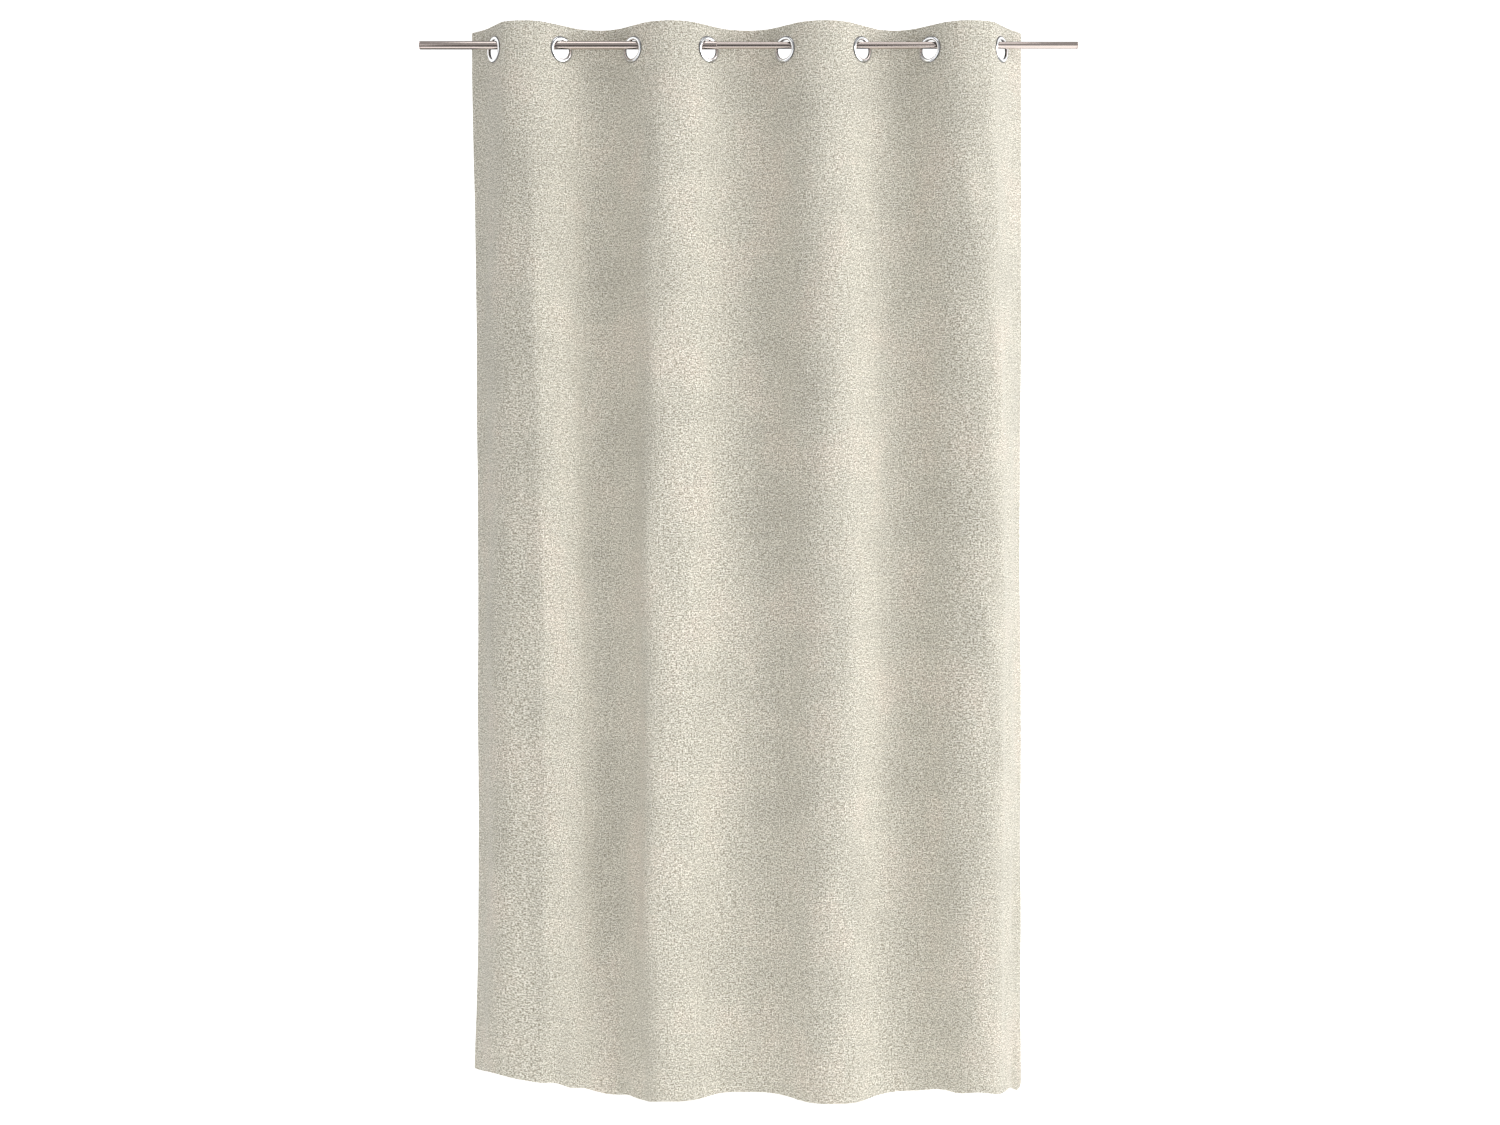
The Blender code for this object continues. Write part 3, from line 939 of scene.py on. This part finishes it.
def open_holes(across, height, eyelets):
    """Moves the grid round each eyelet so that its inner square becomes the round hole."""
    for eyelet in eyelets:
        u, v = across - eyelet, height - EYELET_HEIGHT
        reach = np.maximum(abs(u), abs(v))
        inside = reach < HOLE_BLOCK
        radius = np.maximum(np.hypot(u, v), MM / 1000)
        share = np.clip((reach - HOLE_RING) / (HOLE_BLOCK - HOLE_RING), 0, 1)
        shrink = np.minimum(reach / HOLE_RING, 1)
        rounder = HOLE_RADIUS * shrink / radius
        scale = rounder * (1 - share) + share
        across = np.where(inside, eyelet + u * scale, across)
        height = np.where(inside, EYELET_HEIGHT + v * scale, height)
    return across, height


def grid_normals(points):
    """Unit normals of a grid of points, towards the room."""
    down = np.gradient(points, axis=0)
    right = np.gradient(points, axis=1)
    normals = np.cross(down, right)
    return normals / np.linalg.norm(normals, axis=2, keepdims=True)


def hung_middle(plan, across, height):
    """The cloth's middle as it hangs, before its smaller unevenness."""
    x = np.interp(across, plan.along, plan.x)
    y = np.interp(across, plan.along, plan.y)
    line = np.interp(across, plan.along, plan.line)
    fall = np.clip((HEADING_FOOT - height) / DROP, 0, 1)
    settled = ease(fall * 4)
    wave = -FOLD_DEPTH * np.sin(math.pi / 2 * (line - 1))
    inner = ease(np.minimum(line, LAST_LINE - line))
    y = y + (wave - y) * RELAXED_SHARE * settled * inner
    swell = ripples(line / 2, height, *SWELL_WAVES)
    y = y * (1 + SWELL_SHARE * swell * settled)
    y = y * (1 + (at_line(HEM_DEPTH, line) - 1) * fall ** 2)
    y = y - CREASE_DEPTH * np.exp(-((line - 2) / CREASE_WIDTH) ** 2) * settled
    x = x + at_line(HEM_DRIFT, line) * fall
    x = x + at_line(WAIST_DRIFT, line) * np.sin(math.pi * fall)
    z = height + at_line(HEM_LIFT, line) * fall
    return np.stack((x, y, z), axis=2)


def make_fabric(settings):
    """The whole curtain as two grids of points, its front and its back, with their normals."""
    plan = fold_plan()
    eyelets = np.interp(np.arange(1, LAST_LINE, 2), plan.line, plan.along)
    columns = grid_columns(plan, eyelets, settings.side_hem)
    rows = grid_rows(settings.heading_hem, settings.bottom_hem)
    across, height = np.meshgrid(columns, rows)
    middle_across = (across[:-1, :-1] + across[1:, 1:]) / 2
    middle_height = (height[:-1, :-1] + height[1:, 1:]) / 2
    hole = np.zeros_like(middle_across, bool)
    for eyelet in eyelets:
        reach = np.maximum(abs(middle_across - eyelet), abs(middle_height - EYELET_HEIGHT))
        hole |= reach < HOLE_RING
    across, height = open_holes(across, height, eyelets)

    near_side = np.clip(1 - (plan.along[-1] - across) / CORNER_RADIUS, 0, 1)
    lift = CORNER_RADIUS * (1 - np.sqrt(1 - near_side ** 2))
    above_foot = (height - HEM_HEIGHT) / (4 * CORNER_RADIUS)
    middle = hung_middle(plan, across, height + lift * np.clip(1 - above_foot, 0, 1))
    fall = np.clip((HEADING_FOOT - height) / DROP, 0, 1)
    loose = HEADING_SWAY + (1 - HEADING_SWAY) * ease(fall * 8)
    for eyelet in eyelets:
        clear = np.hypot(across - eyelet, height - EYELET_HEIGHT) - FLAT_HALF_WIDTH
        loose = loose * ease(clear / EYELET_CALM)
    sway = sum(size * ripples(across, height, *waves) for size, *waves in SWAY_WAVES)
    sway = sway * (loose * settings.unevenness)
    middle = middle + grid_normals(middle) * sway[..., None]

    from_top = CLOTH_TOP - height
    from_foot = height - HEM_HEIGHT
    from_left = across
    from_right = plan.along[-1] - across
    from_side = np.minimum(from_left, from_right)

    def within(distance, width):
        return np.clip((width + HALF_STEP - distance) / MM, 0, 1)

    heading = within(from_top, settings.heading_hem) * HEADING_LAYERS
    turned_up = within(from_foot, settings.bottom_hem) * HEM_LAYERS
    turned_in = within(from_side, settings.side_hem) * HEM_LAYERS
    back = SINGLE_BACK + np.maximum(np.maximum(heading, turned_up), turned_in)
    seam = settings.side_hem - SEAM_INSET
    groove = GROOVE_DEPTH * np.exp(-((from_side - seam) / GROOVE_WIDTH) ** 2)
    front = FRONT_FACE - groove
    thick, centre = (front + back) / 2, (front - back) / 2
    for distance in (from_top, from_foot, from_left, from_right):
        share = np.clip(distance / EDGE_ROUNDING, 0, 1)
        thick = thick * np.maximum(np.sqrt(1 - (1 - share) ** 2), 0.25)
    normals = grid_normals(middle)
    front_points = middle + normals * (centre + thick)[..., None]
    back_points = middle + normals * (centre - thick)[..., None]
    return SimpleNamespace(
        plan=plan, eyelets=eyelets, columns=columns, rows=rows, hole=hole,
        across=across, height=height, front=front_points, back=back_points,
        front_normals=grid_normals(front_points), back_normals=-grid_normals(back_points),
        total=plan.along[-1],
    )


def face_normals(points, faces):
    """Unit normals of four-sided faces."""
    corners = points[faces]
    normals = np.cross(corners[:, 2] - corners[:, 0], corners[:, 3] - corners[:, 1])
    lengths = np.linalg.norm(normals, axis=1, keepdims=True)
    return normals / np.maximum(lengths, 1e-12)


def fill_mesh(mesh, points, faces):
    """Writes points and four-sided faces into an empty mesh."""
    mesh.vertices.add(len(points))
    mesh.vertices.foreach_set("co", points.astype(np.float32).ravel())
    mesh.loops.add(faces.size)
    mesh.loops.foreach_set("vertex_index", faces.astype(np.int32).ravel())
    mesh.polygons.add(len(faces))
    mesh.polygons.foreach_set("loop_start", np.arange(0, faces.size, 4, dtype=np.int32))
    mesh.update(calc_edges=True)


def cloth_length(name, fabric, first, last):
    """A closed length of the cloth between two of its columns, with every edge covered."""
    part = slice(first, last + 1)
    shape = fabric.front[:, part].shape[:2]
    layer = shape[0] * shape[1]
    index = np.arange(layer).reshape(shape)
    cells = np.stack(
        (index[1:, :-1], index[1:, 1:], index[:-1, 1:], index[:-1, :-1]), axis=2,
    )
    front = cells[~fabric.hole[:, first:last]]
    back = front[:, ::-1] + layer
    starts, ends = front.ravel(), np.roll(front, -1, axis=1).ravel()
    paired = np.isin(starts * layer + ends, ends * layer + starts)
    starts, ends = starts[~paired], ends[~paired]
    rims = np.stack((ends, starts, starts + layer, ends + layer), axis=1)
    faces = np.concatenate((front, back, rims))

    def both(first_grid, second_grid):
        width = first_grid.shape[2] if first_grid.ndim == 3 else 1
        grids = (first_grid[:, part], second_grid[:, part])
        return np.concatenate([grid.reshape(-1, width) for grid in grids])

    points = both(fabric.front, fabric.back)
    normals = both(fabric.front_normals, fabric.back_normals)
    flat = np.hstack((both(fabric.across, fabric.across), both(fabric.height, fabric.height)))
    loop_normals = normals[faces]
    loop_normals[-len(rims):] = face_normals(points, rims)[:, None, :]
    used = np.unique(faces)
    renumbered = np.zeros(2 * layer, int)
    renumbered[used] = np.arange(len(used))
    mesh = bpy.data.meshes.new(name)
    fill_mesh(mesh, points[used], renumbered[faces])
    uv = mesh.uv_layers.new(name="flat_cloth")
    uv.data.foreach_set("uv", flat[faces].astype(np.float32).ravel())
    mesh.polygons.foreach_set("use_smooth", np.ones(len(faces), bool))
    mesh.normals_split_custom_set(loop_normals.reshape(-1, 3).tolist())
    return link_piece(name, mesh)


def hang(piece, fold):
    """Hangs a length of cloth, or what is sewn to it, on the pleats beside it.

    Fold 0 is the left edge and the last one the right edge, and these hang on the pleat beside
    them;
    each of the others keeps its place, baked into its mesh, and does not bend with the pleats.
    """
    if fold == 0:
        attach(piece, "pleat_1")
    elif fold == PLEATS:
        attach(piece, f"pleat_{PLEATS}")
    else:
        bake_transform(piece)


def length_name(kind, fold):
    place = {0: "left_edge", PLEATS: "right_edge"}.get(fold, f"fold_{fold}")
    return f"{kind}_{place}"


def fold_columns(fabric):
    """The first and last column of each length of cloth, split at the eyelets' centres."""
    splits = [int(abs(fabric.columns - eyelet).argmin()) for eyelet in fabric.eyelets]
    splits = [0, *splits, len(fabric.columns) - 1]
    return list(zip(splits, splits[1:]))


class CURTAIN_OT_build_cloth(bpy.types.Operator):
    """Hangs the cloth in nine lengths that meet unseen at the eyelets' centre lines"""

    bl_idname = "curtain.build_cloth"
    bl_label = "Build Cloth"

    def execute(self, context):
        settings = context.scene.curtain_cloth
        fabric = make_fabric(settings)
        cloth = woven_polyester(settings)
        thread = sewing_thread(settings)
        for fold, (first, last) in enumerate(fold_columns(fabric)):
            piece = cloth_length(length_name("cloth", fold), fabric, first, last)
            pleats = [pleat for pleat in (fold, fold + 1) if 1 <= pleat <= PLEATS]
            nodes = [
                f"{kind}_{pleat}" for pleat in pleats for kind in ("cloth_pleat", "heading_tape")
            ]
            finish_piece(piece, cloth, nodes)
            hang(piece, fold)
            stitches = sew_length(length_name("stitches", fold), fabric, first, last, settings)
            finish_piece(stitches, thread, [])
            hang(stitches, fold)
        return {"FINISHED"}


# ------------------------------------------------------------------ stitching

STITCH_PITCH = 3.5 * MM
STITCH_LENGTH = 2.7 * MM
STITCH_WIDTH = 0.5 * MM
STITCH_HEIGHT = 0.36 * MM
# The rows of stitches run this far inside the edges of the heading hem and the bottom hem
STITCH_INSET = 3 * MM
# A stitch's ten corners: (along, across, up) as shares of its length, width and height
STITCH_CORNERS = np.array([
    (-0.5, 0, -0.6),
    (-0.3, -0.5, 0), (-0.3, 0, 0.5), (-0.3, 0.5, 0), (-0.3, 0, -0.6),
    (0.3, -0.5, 0), (0.3, 0, 0.5), (0.3, 0.5, 0), (0.3, 0, -0.6),
    (0.5, 0, -0.6),
])
STITCH_SIDES = np.array([(1, 5, 6, 2), (2, 6, 7, 3), (3, 7, 8, 4), (4, 8, 5, 1)])
STITCH_TIPS = np.array([
    (0, 1, 2), (0, 2, 3), (0, 3, 4), (0, 4, 1), (9, 6, 5), (9, 7, 6), (9, 8, 7), (9, 5, 8),
])


def on_grid(grid, fabric, across, height):
    """A grid's values at places on the flat cloth, away from the holes."""
    column = np.interp(across, fabric.columns, np.arange(len(fabric.columns)))
    row = np.interp(-height, -fabric.rows, np.arange(len(fabric.rows)))
    left = np.minimum(column.astype(int), len(fabric.columns) - 2)
    upper = np.minimum(row.astype(int), len(fabric.rows) - 2)
    right_share, lower_share = (column - left)[:, None], (row - upper)[:, None]
    above = grid[upper, left] * (1 - right_share) + grid[upper, left + 1] * right_share
    below = grid[upper + 1, left] * (1 - right_share) + grid[upper + 1, left + 1] * right_share
    return above * (1 - lower_share) + below * lower_share


def seam_places(fabric, first, last, settings):
    """Centres of one length's stitches on the flat cloth, and which of them run upright."""
    start, end = fabric.columns[first], fabric.columns[last]
    level = np.arange(STITCH_PITCH, fabric.total - STITCH_PITCH, STITCH_PITCH)
    level = level[(level >= start) & (level < end)]
    upright = np.arange(HEM_HEIGHT + STITCH_PITCH, CLOTH_TOP - STITCH_PITCH, STITCH_PITCH)
    inset = settings.side_hem - SEAM_INSET
    places = []
    for height in (
        CLOTH_TOP - settings.heading_hem + STITCH_INSET,
        HEM_HEIGHT + settings.bottom_hem - STITCH_INSET,
    ):
        places += [(across, height, False) for across in level]
    for across in (inset, fabric.total - inset):
        if start <= across <= end:
            places += [(across, height, True) for height in upright]
    return places


def sew_length(name, fabric, first, last, settings):
    """All the stitches on the front and the back of one length of cloth."""
    places = seam_places(fabric, first, last, settings)
    across, height, upright = (np.array(column) for column in zip(*places))
    upright = upright[:, None]
    corners = []
    for points, normals in (
        (fabric.front, fabric.front_normals), (fabric.back, fabric.back_normals),
    ):
        centre = on_grid(points, fabric, across, height)
        normal = on_grid(normals, fabric, across, height)
        right = on_grid(points, fabric, across + MM, height) - centre
        up = on_grid(points, fabric, across, height + MM) - centre
        along = np.where(upright, up, right)
        along = along / np.linalg.norm(along, axis=1, keepdims=True)
        side = np.cross(normal, along)
        for corner_along, corner_side, corner_up in STITCH_CORNERS:
            corners.append(
                centre + along * corner_along * STITCH_LENGTH
                + side * corner_side * STITCH_WIDTH
                + normal * corner_up * STITCH_HEIGHT
            )
    count = len(places)
    per_stitch = len(STITCH_CORNERS)
    layers = np.stack(corners, axis=1).reshape(count, 2, per_stitch, 3)
    points = layers.reshape(-1, 3)
    starts = (np.arange(2 * count) * per_stitch)[:, None, None]
    sides = (starts + STITCH_SIDES).reshape(-1, 4).tolist()
    tips = (starts + STITCH_TIPS).reshape(-1, 3).tolist()
    mesh = bpy.data.meshes.new(name)
    mesh.from_pydata(points.tolist(), [], sides + tips)
    mesh.polygons.foreach_set("use_smooth", np.ones(len(mesh.polygons), bool))
    mesh.update()
    return link_piece(name, mesh)


# ------------------------------------------------------------------ the stage

FLOOR_HEIGHT = HEM_HEIGHT - 60 * MM
ON_FLOOR = FLOOR_HEIGHT + 10 * MM
PAPER_SIZE = 12
PAPER_BACK = PAPER_SIZE / 2 - 0.1
# Boards that only polished metal shows, from one corner to the opposite one: dark ones
# round the camera and the curtain, which line the metal's edges, and bright ones at both
# sides
DARK_BOARDS = (
    ("board_behind_camera", (-3.6, -5.6, FLOOR_HEIGHT), (1.15, -5.6, -1.75)),
    ("board_under_camera", (-3.6, -5.6, ON_FLOOR), (1.15, -1.75, ON_FLOOR)),
    ("board_under_curtain", (-3.6, 0.7, ON_FLOOR), (1.3, 5.6, ON_FLOOR)),
    ("board_behind_curtain", (-4.5, 4.6, FLOOR_HEIGHT), (4.5, 4.6, 0.9)),
)
BRIGHT_BOARDS = (
    ("board_on_left", (-4.3, -1.6, -0.5), (-4.3, 3.0, 2.9)),
    ("board_on_right", (4.4, -0.7, -0.5), (4.4, 3.0, 2.9)),
)
# Each light's place, the place it faces, its width and its height
CLOTH_MIDDLE = (0, 0, -1.1)
LIGHTS = {
    "key": ((4.2, -1.95, -0.2), CLOTH_MIDDLE, 2.4, 3.0),
    "fill": ((-3.2, -3.0, -0.6), CLOTH_MIDDLE, 2.2, 2.6),
    "top": ((0, -1.2, 2.4), (0, 0, 0), 3.0, 1.4),
}
CAMERA_PLACE = (0.005, -3.39, -0.925)
CAMERA_LENS, CAMERA_SENSOR, CAMERA_SHIFT = 35.6, 36, -0.075


def softbox(name, place, target, width, height, power):
    """A large rectangular light that faces a target."""
    deselect_all()
    bpy.ops.object.light_add(type="AREA", location=place)
    light = name_piece(bpy.context.active_object, name)
    light.data.shape = "RECTANGLE"
    light.data.size = width
    light.data.size_y = height
    light.data.energy = power
    way = Vector(target) - Vector(place)
    light.rotation_mode = "QUATERNION"
    light.rotation_quaternion = way.to_track_quat("-Z", "Y")


def matt_card(name, colour, roughness, glow):
    """Card or paper with a matt face, which glows evenly by the given strength."""
    material, *_ = surface(
        name,
        {
            "Base Color": (*colour, 1), "Roughness": roughness,
            "Emission Color": (1, 1, 1, 1), "Emission Strength": glow,
        },
    )
    return material


def reflected_board(name, low, high):
    """A flat board between two corners, level or upright, that only reflections show."""
    deselect_all()
    bpy.ops.mesh.primitive_plane_add(size=2)
    board = bpy.context.active_object
    board.name = name
    middle = [(first + last) / 2 for first, last in zip(low, high)]
    half = [(last - first) / 2 for first, last in zip(low, high)]
    if half[2] == 0:
        turn, scale = (0, 0, 0), (half[0], half[1], 1)
    elif half[1] == 0:
        turn, scale = (math.pi / 2, 0, 0), (half[0], half[2], 1)
    else:
        turn, scale = (math.pi / 2, 0, math.pi / 2), (half[1], half[2], 1)
    board.location, board.rotation_euler, board.scale = middle, turn, scale
    settle_place()
    board.visible_camera = False
    board.visible_diffuse = False
    board.visible_shadow = False
    return board


class CURTAIN_OT_build_stage(bpy.types.Operator):
    """Lays the floor and backdrop, and sets the reflected boards, lights and camera"""

    bl_idname = "curtain.build_stage"
    bl_label = "Build Stage"

    def execute(self, context):
        scene = context.scene
        settings = scene.curtain_stage
        deselect_all()
        bpy.ops.mesh.primitive_plane_add(size=PAPER_SIZE, location=(0, 0, FLOOR_HEIGHT))
        paper = context.active_object
        paper.name = "floor_and_backdrop"
        settle_place()

        def at_the_back(edge):
            return all(vertex.co.y > PAPER_BACK for vertex in edge.verts)

        def in_the_bend(edge):
            low = all(vertex.co.z < FLOOR_HEIGHT + 0.1 for vertex in edge.verts)
            return low and at_the_back(edge)

        start_editing(paper)
        select_where(paper, "edges", at_the_back)
        bpy.ops.mesh.extrude_edges_move(TRANSFORM_OT_translate={"value": (0, 0, 6)})
        select_where(paper, "edges", in_the_bend)
        bpy.ops.mesh.bevel(offset=1.5, segments=16, affect="EDGES")
        stop_editing()
        smooth_by_angle(paper, 60)
        paper.data.materials.append(
            matt_card("Matt white backdrop paper", settings.paper_colour, 0.95, 0.62),
        )

        dark = matt_card("Matt black board", linear("#1C1B1A"), 0.9, 0.0)
        bright = matt_card("White board", linear("#F4F4F2"), 0.9, 0.75)
        for card, boards in ((dark, DARK_BOARDS), (bright, BRIGHT_BOARDS)):
            for name, low, high in boards:
                board = reflected_board(name, low, high)
                board.data.materials.append(card)

        world = bpy.data.worlds.new("Soft studio")
        world.use_nodes = True
        background = world.node_tree.nodes["Background"]
        background.inputs["Color"].default_value = (1, 1, 1, 1)
        background.inputs["Strength"].default_value = settings.ambient
        scene.world = world
        for kind, (place, target, width, height) in LIGHTS.items():
            power = getattr(settings, f"{kind}_power")
            softbox(f"{kind}_light", place, target, width, height, power)

        deselect_all()
        bpy.ops.object.camera_add(location=CAMERA_PLACE, rotation=(math.pi / 2, 0, 0))
        camera = context.active_object
        camera.name = "camera"
        camera.data.sensor_width = CAMERA_SENSOR
        camera.data.lens = CAMERA_LENS
        camera.data.shift_y = CAMERA_SHIFT
        scene.camera = camera
        scene.view_settings.view_transform = "Standard"
        return {"FINISHED"}


# ------------------------------------------------------------------ the add-on

class CURTAIN_PT_builder(bpy.types.Panel):
    """Lists the steps that build the curtain, with their settings"""

    bl_idname = "CURTAIN_PT_builder"
    bl_label = "Eyelet Curtain"
    bl_space_type = "VIEW_3D"
    bl_region_type = "UI"
    bl_category = "Curtain"

    def draw(self, context):
        scene = context.scene
        for operator, settings in (
            (CURTAIN_OT_build_stage, scene.curtain_stage),
            (CURTAIN_OT_build_rod, scene.curtain_rod),
            (CURTAIN_OT_build_eyelets, scene.curtain_eyelet),
            (CURTAIN_OT_build_cloth, scene.curtain_cloth),
        ):
            box = self.layout.box()
            box.operator(operator.bl_idname)
            for name in settings.__annotations__:
                box.prop(settings, name)


SETTINGS = {
    "curtain_cloth": CurtainClothSettings,
    "curtain_rod": CurtainRodSettings,
    "curtain_eyelet": CurtainEyeletSettings,
    "curtain_stage": CurtainStageSettings,
}
CLASSES = (
    *SETTINGS.values(),
    CURTAIN_OT_build_stage,
    CURTAIN_OT_build_rod,
    CURTAIN_OT_build_eyelets,
    CURTAIN_OT_build_cloth,
    CURTAIN_PT_builder,
)


def register():
    for found in CLASSES:
        bpy.utils.register_class(found)
    for name, group in SETTINGS.items():
        setattr(bpy.types.Scene, name, bpy.props.PointerProperty(type=group))


def unregister():
    for name in SETTINGS:
        delattr(bpy.types.Scene, name)
    for found in reversed(CLASSES):
        bpy.utils.unregister_class(found)


def main():
    register()
    bpy.ops.curtain.build_stage()
    bpy.ops.curtain.build_rod()
    bpy.ops.curtain.build_eyelets()
    bpy.ops.curtain.build_cloth()


if __name__ == "__main__":
    main()
